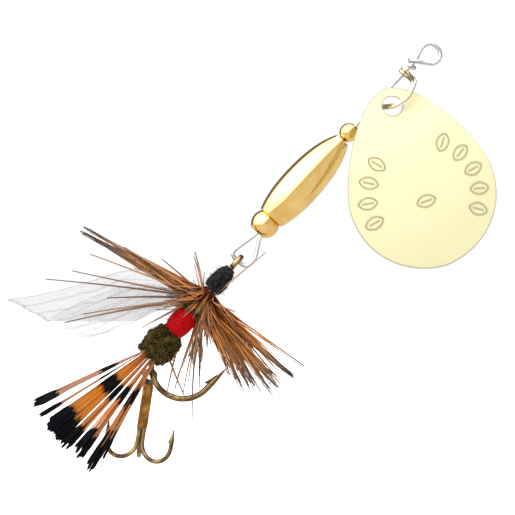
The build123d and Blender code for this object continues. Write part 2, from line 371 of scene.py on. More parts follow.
def makeSky():
    # seen directly it is white; diffuse light is pale in front and darker behind; glossy rays also see
    # a softbox to the left and dark cards, all parallel to the shaft
    k = studio
    f = Finish("studio", bpy.data.worlds, "Generated")
    x, y, z = (f.split(f.coords, axis) for axis in "XYZ")
    angle = x.calc("ARCTAN2", -1 * x, -1 * y) * math.degrees(1)

    def between(edges):
        # 1 inside both edges, 0 outside, with a ramp of "soften" degrees at each
        past = ((angle - edges[0]) * (1 / k["soften"]) + 0.5).clamp()
        return past * ((edges[1] - angle) * (1 / k["soften"]) + 0.5).clamp()

    front = (k["frontAt"] - y * k["frontSlope"]).clamp()
    soft = k["back"] + front * (k["front"] - k["back"])
    low = (1.0 + (z + k["lowAt"]) * k["lowSlope"]).clamp()
    box = between(k["boxEdges"]) * k["softbox"] * low
    dark = (between(k["darkCard"]) * k["darkShare"] + between(k["greyCard"]) * k["greyShare"]).clamp()
    glossy = k["edges"] + front * (k["rightSide"] - k["edges"]) * (1 - dark) + box
    seesGloss = f.node("ShaderNodeLightPath", out="Is Glossy Ray")
    light = glossy * seesGloss + soft * (1 - seesGloss)
    light = light * (k["below"] + (1 - k["below"]) * low)
    direct = f.node("ShaderNodeLightPath", out="Is Camera Ray")
    strength = direct * k["seen"] + (1 - direct) * light
    glow = f.tree.nodes["Background"].inputs
    connect(f.tree, glow["Color"], (1, 1, 1, 1))
    connect(f.tree, glow["Strength"], strength)
    bpy.context.scene.world = f.owner


def makeFloor():
    # a pale floor well below the lure, white where the camera sees it directly
    half, low = 2.0, cadBox[0][2] - 0.05
    mesh = bpy.data.meshes.new("floor")
    corners = [(-half, -half, low), (half, -half, low), (half, half, low), (-half, half, low)]
    mesh.from_pydata(corners, [], [(0, 1, 2, 3)])
    floor = bpy.data.objects.new("floor", mesh)
    bpy.context.collection.objects.link(floor)
    paint = Finish("pale_floor")
    tint = paint.ramp(paint.noise(30, 3), [(0.3, (0.85, 0.85, 0.84)), (0.7, (0.87, 0.87, 0.86))])
    direct = paint.node("ShaderNodeLightPath", out="Is Camera Ray")
    glow = paint.mix(direct, (0, 0, 0, 1), (1, 1, 1, 1))
    mesh.materials.append(paint.shader(
        baseColor=tint, roughness=0.8, emissionColor=glow, emissionStrength=1.0))


bpy.context.scene.view_settings.view_transform = "Standard"
makeCamera()
makeSky()
makeFloor()
makeLight("key_left", (-210, -200, 160), 120, 0.12)
makeLight("top_soft", (40, 60, 260), 200, 0.15)
print("camera and stage ready")


# metals
def steelFinish():
    # bright drawn wire: wandering roughness and fine scratches along the wire
    f = Finish("bright_steel_wire")
    scratch = f.noise(2600, 2, (1, 1, 0.08))
    smudge = f.noise(420, 3)
    tint = f.ramp(smudge, [(0.3, (0.46, 0.45, 0.43)), (0.7, (0.74, 0.73, 0.7))])
    return f.shader(baseColor=tint, metallic=1.0, roughness=0.14 + 0.16 * smudge,
                    normal=f.bump(scratch, 0.12, 0.00003))


def brassFinish(name, dark, bright, rough):
    # polished brass: fine turning rings about Z, cloudy colour and smudged roughness
    f = Finish(name)
    cloud = f.noise(260, 4)
    fine = f.noise(3200, 2, (0.15, 0.15, 1.0))
    tint = f.ramp(cloud, [(0.3, dark), (0.72, bright)])
    speck = f.noise(1900, 2)
    return f.shader(baseColor=tint, metallic=1.0, roughness=rough + 0.1 * speck * cloud,
                    normal=f.bump(fine, 0.1, 0.00004))


def bladeFinish():
    # pale gold plate: patchy haze, painted shade along the rim and painted shade in the bottoms of the
    # stamped marks
    f = Finish("pale_gold_plate")
    cloud = f.noise(150, 4)
    hair = f.noise(900, 3, (0.25, 1.0, 1.0))
    tint = f.ramp(cloud, [(0.25, (0.92, 0.865, 0.525)), (0.75, (0.945, 0.895, 0.565))])
    # painted shade: the bottoms of the stamped marks are tinted dark brown
    tint = f.mix(f.attribute("stamp"), tint, (0.24, 0.18, 0.07, 1))
    # painted shade: the lip is tinted darker, drawing a dark outline round the blade and its hole
    tint = f.mix(f.attribute("rim"), tint, (0.34, 0.3, 0.2, 1))
    return f.shader(baseColor=tint, metallic=0.08, roughness=0.5 + 0.12 * cloud + 0.05 * hair,
                    specularIORLevel=0.12, normal=f.bump(hair, 0.05, 0.00004))


def bronzeFinish():
    # bronze lacquer: brown with golden worn streaks along the wire, under a clear coat
    f = Finish("bronzed_hook")
    streak = f.noise(650, 4, (1, 1, 0.35))
    speck = f.noise(2400, 2)
    tint = f.ramp(streak, [(0.32, (0.05, 0.026, 0.009)), (0.5, (0.16, 0.092, 0.028)),
                           (0.72, (0.46, 0.3, 0.105))])
    return f.shader(baseColor=tint, metallic=0.92, roughness=0.22 + 0.14 * speck, coatWeight=0.35,
                    coatRoughness=0.12, normal=f.bump(speck, 0.12, 0.00004))


def brazeFinish():
    # rough braze: orange and brown blotches with a grainy skin
    f = Finish("bronze_braze")
    blotch = f.noise(700, 4, (1, 1, 0.5))
    grain = f.noise(3600, 3)
    tint = f.ramp(blotch, [(0.3, (0.1, 0.045, 0.01)), (0.5, (0.34, 0.15, 0.028)),
                           (0.7, (0.6, 0.3, 0.06))])
    return f.shader(baseColor=tint, metallic=0.85, roughness=0.3 + 0.25 * grain,
                    normal=f.bump(grain * 0.5 + blotch, 0.2, 0.00007))


# materials by slot
materials = {
    "steel_wire": steelFinish(),
    "polished_brass": brassFinish("polished_brass", (0.8, 0.5, 0.15), (0.98, 0.7, 0.28), 0.07),
    "clevis_brass": brassFinish("clevis_brass", (0.5, 0.42, 0.24), (0.8, 0.7, 0.46), 0.12),
    "gold_plate": bladeFinish(), "bronzed_hook": bronzeFinish(), "braze": brazeFinish(),
}
materials["link_wire"] = materials["steel_wire"]
print("metals ready")

# shaft wire: lower loop, shaft, line eye and the tag's turn below it
wire = {
    "radius": 0.33,
    "lowerLoop": [(0.8, 0, -40.6), (0.82, 0, -41.7), (2.75, 0, -44.9), (2.7, 0, -47.1), (-1, 0, -47.1),
                  (0, 0, -42)],
    "lineEye": [(0, 0, -2.3), (-0.55, 0, -0.6), (-0.6, 0, 0.8), (0.3, 0, 1.55), (1.9, 0, 1.5), (2.85, 0, 0.6),
                (2.7, 0, -0.9), (1.3, -0.35, -1.85), (0.35, -0.8, -2.55)],
    "bends": [2.0, 2.5, 1.1, 0.8, 3.0, 2.5, 1.5, 0.9, 1.1, 1.0, 1.0, 0.9, 0.9, 0.5],
    # the tag's turn round the shaft: radius, first and last angle, top, fall and bend
    "wrapRadius": 0.777, "wrapFrom": 45, "wrapTo": 420, "wrapTop": -2.75, "wrapFall": 1.3, "wrapBend": 0.6,
}


def shaftRoute():
    w = wire
    q = np.arange(w["wrapFrom"], w["wrapTo"] + 1, 45)
    a, r = np.radians(q), w["wrapRadius"]
    coil = stacked(-r * np.sin(a), -r * np.cos(a), w["wrapTop"] - w["wrapFall"] * q / w["wrapTo"])
    bends = w["bends"] + [w["wrapBend"]] * (len(coil) - 1)
    return softened(roundedRoute(w["lowerLoop"] + w["lineEye"] + list(coil), bends), 5)


route = shaftRoute()
addPiece("shaft_wire_bright", [tube(route, roundedEnds(len(route), wire["radius"]))],
         "shaft", "shaft_wire", "steel_wire")
print("shaft wire made")

# clevis: two strands side by side, each with one turn round the shaft at both ends
clevisWire = {
    "radius": 0.26, "pitch": 0.54, "eyelet": 0.66, "top": -5.2, "bottom": -12.5,
    "arm": [(0.45, -0.62, -5.2), (2.3, -4.3, -5.75), (3.25, -5.7, -8.6), (2.6, -5.2, -11),
            (1.6, -2.6, -11.9), (0.45, -0.62, -12.5)],
    "bends": [1.8, 1.8, 1.5, 2.0],
}


def clevisStrands():
    c = clevisWire
    arm = softened(roundedRoute(c["arm"], c["bends"]), 9)
    along, side, up = frames(arm)
    # the strands lie apart along the shaft where the arm starts
    apart = unit(side * side[0, 2] + up * up[0, 2])
    start = math.atan2(arm[0, 1], arm[0, 0])
    a = start + np.linspace(-turn * 0.93, -0.12, 40)
    strands = []
    for offset in (-c["pitch"] / 2, c["pitch"] / 2):
        line = arm + apart * offset
        foot = c["bottom"] + (line[-1, 2] - arm[-1, 2])
        path = [polar(c["eyelet"], a, c["top"] + offset), line, polar(c["eyelet"], 2 * start - a, foot)]
        path = softened(evenly(np.concatenate(path), 0.05), 3)
        strands.append(tube(path, roundedEnds(len(path), c["radius"]), 16))
    return strands


addPiece("clevis_wire", clevisStrands(), "clevis", "clevis", "clevis_brass")
print("clevis made")

# blade: pear outline, spherical cup, round hole, stamped leaf marks
blade = {
    "length": 30.9, "width": 24.4, "narrow": 0.571, "tilt": 61.1, "cup": 32.0, "crownY": -7.4,
    "hole": (2.29, -11.14), "holeRadius": 1.65, "inset": 3.2, "rays": 460, "rings": 150, "backRings": 34,
    # the rounded edge from front to back: inset and depth
    "lip": [(0.14, 0.0), (0.05, 0.03), (0.0, 0.12), (0.0, 0.48), (0.05, 0.57), (0.14, 0.6)],
    # leaf marks on a ring about a point of the blade's axis, and a lone one
    "markRing": (1.2, 9.2), "markAngles": [-142, -121, -100, -79, 142, 121, 100, 79, 58], "loneMark": 2.2,
    "markHeight": 3.1, "markWidth": 1.9, "markDepth": 0.11, "groove": 0.14,
}


def bladeMarks(u, v):
    # depth of the stamp: exp(-(gap / groove)^2) for the gap to a leaf's two arcs or to its midrib
    middle, far = blade["markRing"]
    places = [(middle + far * math.cos(q), far * math.sin(q), q) for q in np.radians(blade["markAngles"])]
    places += [(blade["loneMark"], 0.0, math.pi / 2)]
    h, w = blade["markHeight"] / 2, blade["markWidth"] / 2
    arc = (h * h + w * w) / (2 * w)
    total = np.zeros_like(u)
    for x, y, q in places:
        c, s = math.cos(q), math.sin(q)
        a, b = (u - x) * c + (v - y) * s, -(u - x) * s + (v - y) * c
        leaf = np.maximum(np.hypot(b + arc - w, a), np.hypot(b - arc + w, a)) - arc
        rib = np.hypot(b, np.maximum(np.abs(a) - h * 0.55, 0))
        for gap in (np.abs(leaf), rib):
            total = np.maximum(total, np.exp(-((gap / blade["groove"]) ** 2)))
    return total


def makeBlade():
    # the outline is two half superellipses; rays from the hole's centre reach it, and rows run from the
    # hole's lip over the front face to the outer lip and back over the rear face
    b = blade
    narrow, wide = b["length"] * b["narrow"], b["length"] * (1 - b["narrow"])
    t = np.linspace(0, turn, 1441)
    front = np.cos(t) > 0
    reach, power, root = (np.where(front, x, y) for x, y in ((wide, narrow), (2.29, 1.37), (1.8, 1.67)))
    half = b["width"] / 2 * np.clip(1 - np.abs(np.cos(t)) ** power, 0, None) ** (1 / root)
    holeU = b["inset"] - narrow
    du, dv = reach * np.cos(t) - holeU, half * np.sign(np.sin(t))
    angle, far = np.unwrap(np.arctan2(dv, du)), np.hypot(du, dv)
    psi = circle(b["rays"])
    ray = psi - 0.55 * np.sin(psi)
    edge = np.interp(ray, angle, far)
    lip, back = b["lip"], b["lip"][-1][1]
    face = lambda count, first, last, deep: [
        (s, 0.14 - 0.28 * s, deep) for s in np.linspace(first, last, count)[1:-1]]
    rows = [(0, off, deep) for off, deep in lip[::-1]] + face(b["rings"], 0, 1, 0.0)
    rows += [(1, -off, deep) for off, deep in lip] + face(b["backRings"], 1, 0, back)
    share, off, deep = np.array(rows).T[..., None]
    r = b["holeRadius"] + (edge - b["holeRadius"]) * share + off
    u, v = holeU + r * np.cos(ray), r * np.sin(ray)
    stamp = np.where((deep < 0.01) & (share > 0) & (share < 1), bladeMarks(u, v), 0.0)
    drop = b["cup"] - np.sqrt((b["cup"] - deep) ** 2 - u**2 - v**2)
    wave = 0.02 * np.sin(u * 0.45 + 1.0) * np.cos(v * 0.38)
    y = b["crownY"] + drop + wave + stamp * b["markDepth"]
    q = math.radians(b["tilt"])
    along, across = np.array([math.sin(q), -math.cos(q)]), np.array([math.cos(q), math.sin(q)])
    crown = np.array(b["hole"]) + along * (narrow - b["inset"])
    x, z = (crown[k] + along[k] * u + across[k] * v for k in range(2))
    # rim marks the lip, which gets the painted shade outline
    rim = ((share == 0) | (share == 1)) & (deep < back - 0.02)
    # the stamp attribute carries the painted shade of the marks as well as their depth
    addPiece("blade_gold", [ringSolid(stacked(x, y, z))], "blade", "blade", "gold_plate",
             {"stamp": stamp * 0.85, "rim": rim * 0.62 + 0 * u})


makeBlade()
print("blade made")


# beads and body: turned profiles round the shaft, closed through their bores
beads = {"upper": (1.6, -18.86), "lower": (2.38, -39.5), "bore": 0.38, "tagBore": 1.25, "tagBoreTop": -40.2}
weight = {
    "stations": [(-20.55, 1.3), (-23.3, 2.45), (-26.6, 3.12), (-30.8, 3.37), (-35, 3.08), (-38.1, 2.3)],
    "seat": 2.43, "foot": [(2.2, -38.1), (1.95, -38.1)],
    "top": [(0.38, -20.6), (0.42, -20.55), (1.22, -20.55)],
}


def beadProfile(which, lowerBore):
    radius, middle = beads[which]
    bore = beads["bore"]
    q = np.linspace(math.asin(bore / radius) + 0.03, math.pi - math.asin(lowerBore / radius) - 0.03, 90)
    ball = [(radius * math.sin(a), middle + radius * math.cos(a)) for a in q]
    out = ball + [(lowerBore, ball[-1][1] - 0.02)]
    if lowerBore > bore:
        out += [(lowerBore, beads["tagBoreTop"] - 0.05), (bore, beads["tagBoreTop"])]
    return out + [(bore, ball[0][1] + 0.02)]


def bodyProfile():
    # r(z) is a polynomial through the stations, and a hollow seats the lower bead
    fit = np.polyfit(*zip(*weight["stations"]), 5)
    shell = [(np.polyval(fit, z), z) for z in np.linspace(-20.62, -38.03, 140)]
    seat, middle, bore = weight["seat"], beads["lower"][1], beads["bore"]
    hollow = [(seat * math.sin(q), middle + seat * math.cos(q)) for q in np.linspace(0.86, 0.18, 16)]
    hollow.append((bore, middle + math.sqrt(seat**2 - 0.4**2)))
    return shell + weight["foot"] + hollow + weight["top"]


for name, node, rides, profile, sides in (
        ("upper_bead_brass", "upper_bead", "upper_bead", beadProfile("upper", beads["bore"]), 96),
        ("lower_bead_brass", "lower_bead", "lower_bead", beadProfile("lower", beads["tagBore"]), 112),
        ("body_brass", "body_weight", "weight", bodyProfile(), 160)):
    addPiece(name, [lathe(profile, sides)], rides, node, "polished_brass")
print("beads and body turned")

# fly hook: ring eye, shank, round bend and a barbed, tapered point
flyHook = {"x": 0.8, "radius": 0.5, "eyeRadius": 1.03, "eyeWire": 0.45, "eyeZ": -47.35, "bend": 5.3,
           "bendZ": -66.3, "tipZ": -61.25}


def barbSliver(root, tip, heel, half):
    # a thin wedge from root to its free tip and back to heel on the wire
    flat = np.cross(unit(tip - root), unit(heel - root))
    flat = unit(flat) * half
    edge = flat * 0.15
    points = np.array([root - flat, root + flat, tip - edge, tip + edge, heel - flat, heel + flat])
    quads = np.array([[0, 2, 3, 1], [2, 4, 5, 3], [4, 0, 1, 5]])
    return points, quads, np.array([[0, 4, 2], [1, 3, 5]])


def hookRoute(straightFrom, bendRadius, bendAt, tipAt, offset):
    # in the hook's own plane: down the shank, half a turn of the bend, and up to the point
    shank = stacked(offset, np.linspace(straightFrom, bendAt, 60))
    q = np.linspace(math.pi, turn, 70)[1:]
    arc = stacked(offset + bendRadius + bendRadius * np.cos(q), bendAt + bendRadius * np.sin(q))
    z = np.linspace(bendAt, tipAt, 40)[1:]
    point = stacked(offset + 2 * bendRadius + 0.03 * (z - bendAt), z)
    return np.concatenate([shank, arc, point])


def pointTaper(count, radius, share):
    s = np.linspace(0, 1, count)
    return radius * np.where(s > 1 - share, np.clip((1 - s) / share, 0.05, 1) ** 0.8, 1.0)


def makeFlyHook():
    h = flyHook
    flat = hookRoute(h["eyeZ"] - h["eyeRadius"], h["bend"], h["bendZ"], h["tipZ"], h["x"])
    line = evenly(stacked(flat[:, 0], 0.0, flat[:, 1]), 0.14)
    q = np.linspace(-math.pi / 2 + 0.16, math.pi * 1.5 - 0.2, 64)
    ring = stacked(h["x"], h["eyeRadius"] * np.cos(q), h["eyeZ"] + h["eyeRadius"] * np.sin(q))
    place = lambda dx, dz: np.array([h["x"] + 2 * h["bend"] + dx, 0, h["bendZ"] + dz])
    parts = [tube(line, pointTaper(len(line), h["radius"], 0.09), 22),
             tube(ring, roundedEnds(64, h["eyeWire"], 4), 18),
             barbSliver(place(-0.3, 2.9), place(-1.05, 0.25), place(-0.2, 0.9), 0.16)]
    addPiece("fly_hook_bronze", parts, "fly", "fly_hook", "bronzed_hook")


makeFlyHook()
print("fly hook made")

# treble: three hooks about one shank, ring eye, braze skin
treble = {"eye": (3.0, 1.7, -71.3), "tilt": 34.0, "radius": 0.375, "eyeRadius": 0.95, "eyeWire": 0.36,
          "bend": 2.87, "bendAt": 11.0, "tipAt": 7.65, "offset": 0.46, "brazeFrom": 1.45, "brazeTo": 9.0}
eyeAt, tilt = np.array(treble["eye"]), math.radians(treble["tilt"])
down = np.array([math.sin(tilt), 0, -math.cos(tilt)])
sideways, forward = np.array([math.cos(tilt), 0, math.sin(tilt)]), np.array([0, -1.0, 0])


def trebleHook(azimuth, startAt):
    t = treble
    out = sideways * math.sin(math.radians(azimuth)) + forward * math.cos(math.radians(azimuth))
    flat = hookRoute(-startAt, t["bend"], -t["bendAt"], -t["tipAt"], t["offset"])
    line = evenly(eyeAt + out * flat[:, :1] - down * flat[:, 1:], 0.11)
    gape = t["offset"] + 2 * t["bend"]
    place = lambda r, d: eyeAt + out * (gape + r) + down * d
    barb = barbSliver(place(-0.22, 9.0), place(-0.72, 10.4), place(-0.15, 10.2), 0.12)
    return [tube(line, pointTaper(len(line), t["radius"], 0.1)), barb]


def trebleEye():
    t = treble
    q = np.linspace(0, turn, 73)[:-1, None]
    ring = eyeAt + t["eyeRadius"] * (sideways * np.cos(q) + down * np.sin(q))
    a = circle(18)[:, None]
    out = unit(ring - eyeAt)[:, None]
    return ringSolid(ring[:, None] + t["eyeWire"] * (out * np.cos(a) + forward * np.sin(a)))


def brazeSkin():
    # radius(d, a) = a three-lobed section that swells over the wires and thins at both ends
    low, high = treble["brazeFrom"], treble["brazeTo"]
    d = np.linspace(low, high, 90)[:, None]
    a = circle(72)
    lobe = 0.5 + 0.5 * np.cos(3 * (a - math.radians(60)))
    s = (d - low) / (high - low)
    ends = 1 - 0.42 * np.clip((s - 0.86) / 0.14, 0, 1) ** 2 * (1 - lobe) - 0.12 * np.clip(1 - s / 0.06, 0, 1)
    lump = 0.008 * np.sin(2.3 * d + 2 * a) + 0.005 * np.sin(4.1 * d - 3 * a)
    r = (0.8 + 0.13 * lobe + lump) * ends
    out = sideways * np.sin(a)[:, None] + forward * np.cos(a)[:, None]
    return closedTube(eyeAt + down * d[..., None] + out * r[..., None],
                      [eyeAt + down * k for k in (low - 0.05, high + 0.02)])


addPiece("treble_front_hooks", trebleHook(60, 0.8) + trebleHook(-60, 0.8) + [trebleEye()], "treble",
         "treble_double_hook", "bronzed_hook")
addPiece("treble_rear_hook", trebleHook(180, 1.45), "treble", "treble_single_hook", "bronzed_hook")
addPiece("treble_braze_skin", [brazeSkin()], "treble", "treble_braze", "braze")
print("treble made")


# soft materials
def threadFinish():
    # waxed thread: black with paler flecks that also stand up a little
    f = Finish("black_thread")
    fleck = f.noise(1500, 3)
    tint = f.ramp(fleck, [(0.35, (0.004, 0.004, 0.005)), (0.7, (0.036, 0.038, 0.042))])
    return f.shader(baseColor=tint, roughness=0.55, specularIORLevel=0.06, normal=f.bump(fleck, 0.4, 0.00006))


def flossFinish():
    # red silk: fine strands along the wrap shade the colour and catch the light
    f = Finish("red_floss")
    strand = f.noise(1300, 3, (1, 1, 4.0))
    patch = f.noise(380, 2)
    tint = f.ramp(strand * 0.6 + patch * 0.4, [(0.35, (0.3, 0.0, 0.002)), (0.62, (0.66, 0.001, 0.005))])
    return f.shader(baseColor=tint, roughness=0.32 + 0.2 * strand, specularIORLevel=0.08,
                    normal=f.bump(strand, 0.5, 0.00005))


def featherFinish(name, stops, toneShare, rough=0.5, faded=None):
    # colour runs along each barb from root to tip, and each barb is lighter or darker; a faded
    # colour takes the place of bright colours but not of black
    f = Finish(name)
    run, tone = f.attribute("run"), f.attribute("tone")
    tint = f.ramp(run, stops)
    if faded:
        red = f.node("ShaderNodeSeparateColor", sockets={"Color": tint}, out="Red")
        tint = f.mix(f.attribute("fade") * (red * 3).clamp(), tint, faded)
    tones = f.ramp(tone, [(0, (1 - toneShare,) * 3), (1, (1 + toneShare * 0.4,) * 3)])
    shade = f.mix(1.0, tint, tones, "MULTIPLY")
    fleck = f.noise(2600, 2)
    return f.shader(baseColor=shade, roughness=rough, specularIORLevel=0.03,
                    normal=f.bump(fleck, 0.2, 0.00004))


def wingFinish():
    # quill slip: fine dark barb lines across UV's v, a painted shade as a darker edge all round, clear in
    # between
    f = Finish("white_quill")
    uv = f.node("ShaderNodeTexCoord", out="UV")
    across, alongWing = f.split(uv, "Y"), f.split(uv, "X")
    jitter = f.noise(260, 3)
    fine = (across * 260 + jitter * 9).sine() * 0.5 + 0.5
    broad = (across * 31 + jitter * 5).sine() * 0.5 + 0.5
    line = (broad ** 14) * 0.32 + (fine ** 4) * 0.1
    # painted shade: the sides and the tip are tinted darker and made more opaque
    nearSide = (1 - across * 42).clamp() + (across * 42 - 41).clamp()
    nearTip = (alongWing * 70 - 69).clamp()
    edge = (nearSide + nearTip).clamp() * (0.25 + 0.6 * jitter)
    dark = (line + edge * 0.9).clamp()
    tint = f.mix(dark, (0.73, 0.705, 0.715, 1), (0.22, 0.21, 0.22, 1))
    veil = (0.22 + 0.14 * (jitter - 0.5) + dark * 0.5).clamp()
    return f.shader(baseColor=tint, roughness=0.45, alpha=veil, normal=f.bump(fine, 0.2, 0.00004))


materials.update(black_thread=threadFinish(), red_floss=flossFinish())
for name, *look in (
        ("peacock_herl", [
            (0, (0.008, 0.006, 0.002)), (0.45, (0.07, 0.05, 0.013)), (1, (0.36, 0.27, 0.09))], 0.8, 0.6),
        ("brown_hackle", [
            (0, (0.05, 0.009, 0.004)), (0.1, (0.17, 0.034, 0.01)), (0.26, (0.6, 0.175, 0.03)),
            (0.42, (0.86, 0.31, 0.055)), (0.64, (0.8, 0.34, 0.11)), (0.84, (0.42, 0.24, 0.14)),
            (1, (0.11, 0.09, 0.085))], 0.66, 0.5, (0.36, 0.27, 0.2, 1)),
        ("tippet_feather", [
            (0, (0.24, 0.055, 0.008)), (0.22, (0.66, 0.19, 0.016)), (0.325, (0.72, 0.22, 0.02)),
            (0.35, (0.006, 0.005, 0.006)), (0.49, (0.006, 0.005, 0.006)), (0.515, (0.72, 0.21, 0.018)),
            (0.7, (0.74, 0.26, 0.035)), (0.785, (0.6, 0.21, 0.035)), (0.81, (0.006, 0.006, 0.008)),
            (1, (0.004, 0.004, 0.006))], 0.35, 0.5, (0.52, 0.3, 0.22, 1))):
    materials[name] = featherFinish(name, *look)
materials.update(feather_quill=materials["brown_hackle"], white_quill=wingFinish())
print("soft finishes ready")

rng = np.random.default_rng(12)
uniform, normal = rng.uniform, rng.normal
shankX = flyHook["x"]


def wrapped(bottom, top, profile, pitch, ridge, twist=1, sides=96, steps=160):
    # r(z, a) = profile(z) + ridge * |sin(pi z / pitch + twist a / 2)|, closed down to the shank
    z = np.linspace(bottom, top, steps)[:, None]
    a = circle(sides)
    r = profile((z - bottom) / (top - bottom)) + ridge * np.abs(np.sin(math.pi * (z / pitch) + twist * a / 2))
    return closedTube(polar(r, a, z, shankX), [[shankX, 0, bottom], [shankX, 0, top]])


# head: tapered thread wraps with a few loose hairs
head = {"bottom": -53.6, "top": -48.85, "pitch": 0.24, "ridge": 0.11, "hairs": 260, "hairLength": 0.55}


def makeHead():
    low, high, count = head["bottom"], head["top"], head["hairs"]
    shape = lambda s: np.interp(s, [0, 0.1, 0.36, 0.74, 1.0], [1.35, 1.55, 1.66, 1.36, 0.8])
    base = wrapped(low, high, shape, head["pitch"], head["ridge"])
    cross = wrapped(low + 0.3, high - 0.9, lambda s: shape(s * 0.75 + 0.06) + 0.02, 0.34, 0.05, -3)
    s, a = uniform(0, 0.9, count), uniform(0, turn, count)
    stand = polar(shape(s), a, low + s * (high - low), shankX)
    way = unit(polar(1, a, 0) + normal(0, 0.5, (count, 3)))
    bend = normal(0, 0.25, (count, 3))
    long = head["hairLength"] * uniform(0.5, 1.3, count)
    hairs = fibres(stand, way, bend, long, np.full(count, 0.03), lambda s: 1 - 0.75 * s, 5, 3)
    addPiece("head_thread", [base, cross, hairs[:3]], "fly", "head_wraps", "black_thread")


makeHead()

# thread under the dressing, and the lashing over the link's legs
inner = {"baseTop": -53.6, "baseBottom": -64.2, "lashBottom": -66.8, "base": 0.66, "lash": 0.86}


def makeUnderThreads():
    n = inner
    under = wrapped(n["baseBottom"], n["baseTop"], lambda s: n["base"] + 0 * s, 0.2, 0.05)
    addPiece("thread_layer", [under], "fly", "thread_base", "black_thread")
    lash = wrapped(n["lashBottom"], n["baseBottom"], lambda s: n["lash"] + 0 * s, 0.2, 0.05)
    # the lashing is oval, so that it takes in the link's legs behind the shank
    lash[0][:, 1] = 0.45 + lash[0][:, 1] * 1.5
    addPiece("link_lashing_thread", [lash], "fly", "link_lashing", "black_thread")


makeUnderThreads()

# link: a fine wire loop through the treble's eye
link = {"radius": 0.22, "near": 0.95, "far": 2.6, "legGap": 0.47, "top": -65, "knee": -68.2,
        "belowEye": 0.34}


def makeLink():
    k = link
    x, _, z = eyeAt - k["belowEye"] * down
    back = k["near"] + k["legGap"]
    corners = [(shankX, k["near"], k["top"]), (shankX, k["near"], k["knee"]), (x, k["near"], z),
               (x, k["far"], z), (shankX, back, k["knee"]), (shankX, back, k["top"])]
    line = roundedRoute(corners, [1.5, 0.34, 0.34, 1.5])
    addPiece("link_loop", [tube(line, roundedEnds(len(line), k["radius"]), 14)], "fly", "stinger_link",
             "link_wire")


makeLink()
print("threads and link made")

# floss: a barrel of fine silk strands
floss = {"bottom": -63.2, "top": -58.8, "strands": 40}


def makeFloss():
    low, high, count = floss["bottom"], floss["top"], floss["strands"]
    shape = lambda s: 1.62 + 0.45 * np.sin(math.pi * np.clip(s, 0.02, 0.98)) ** 0.8
    band = wrapped(low, high, shape, 0.16, 0.03, 1, 120, 200)
    a = uniform(0, turn, count)
    z = uniform(low + 0.3, high - 0.3, count)
    stand = polar(shape((z - low) / (high - low)), a, z, shankX)
    around = stacked(-np.sin(a), np.cos(a), normal(0, 0.3, count))
    strands = fibres(stand, unit(around), polar(0.1, a, 0) - around * 0.15, np.full(count, 1.6),
                     np.full(count, 0.03), lambda q: 1 - 0.5 * q, 7, 3)
    addPiece("floss_red", [band, strands[:3]], "fly", "floss_band", "red_floss")


makeFloss()

# herl: a barrel of velvety knots, each with short flues
herl = {"rear": (-69.3, -63.1, 2.5, 210), "front": (-58.8, -57.0, 1.85, 70), "knot": (0.34, 0.6),
        "flue": 0.36, "fluesEach": 36, "rows": 7, "cols": 9, "goldenAngle": 2.39996}


def makeHerl(name, node, place):
    # knot(b, c) = centre + size * (1 + wobble) * unit vector(b, c), closed at both poles
    low, high, girth, count = place
    h, each = herl, herl["fluesEach"]
    size = uniform(*h["knot"], count)
    t, a = (np.arange(count) + 0.5) / count, np.arange(count) * h["goldenAngle"] + normal(0, 0.2, count)
    barrel = girth * (0.66 + 0.34 * np.sin(math.pi * t) ** 0.7) + normal(0, 0.16, count)
    z = low + 0.55 + t * (high - low - 1.1) + normal(0, 0.1, count)
    centre = polar(barrel, a, z, shankX)
    b = np.linspace(0.35, math.pi - 0.35, h["rows"])[:, None]
    c = circle(h["cols"])
    ball = np.concatenate([polar(np.sin(b), c, np.cos(b)).reshape(-1, 3), [[0, 0, 1], [0, 0, -1]]])
    wobble = 1 + normal(0, 0.2, (count, len(ball), 1))
    knots = centre[:, None] + size[:, None, None] * ball * wobble * uniform(0.8, 1.2, (count, 1, 3))
    way = unit(normal(0, 1, (count * each, 3)))
    stand = np.repeat(centre, each, 0) + way * np.repeat(size, each)[:, None] * 0.9
    flues = fibres(stand, way, normal(0, 0.3, way.shape), h["flue"] * uniform(0.5, 1.2, len(way)),
                   uniform(0.028, 0.045, len(way)), lambda s: 1 - 0.6 * s, 3, 3)
    filler = wrapped(low + 0.5, high - 0.3, lambda s: girth * (0.6 + 0.26 * np.sin(math.pi * s)), 0.9, 0.1)
    inside = len(filler[0])
    run = [uniform(0.25, 0.62, count).repeat(len(ball)), np.full(inside, 0.05),
           0.35 + 0.65 * flues[3].ravel()]
    tone = [uniform(0, 0.8, count).repeat(len(ball)), np.full(inside, 0.2),
            uniform(0, 1, len(way)).repeat(flues[3].shape[1])]
    parts = [(knots.reshape(-1, 3), *repeatedFaces(count, h["rows"], h["cols"])), filler, flues[:3]]
    addPiece(name, parts, "fly", node, "peacock_herl",
             {"run": np.concatenate(run), "tone": np.concatenate(tone)})


makeHerl("rear_herl_flues", "rear_herl", herl["rear"])
makeHerl("front_herl_flues", "front_herl", herl["front"])
print("floss and herl made")


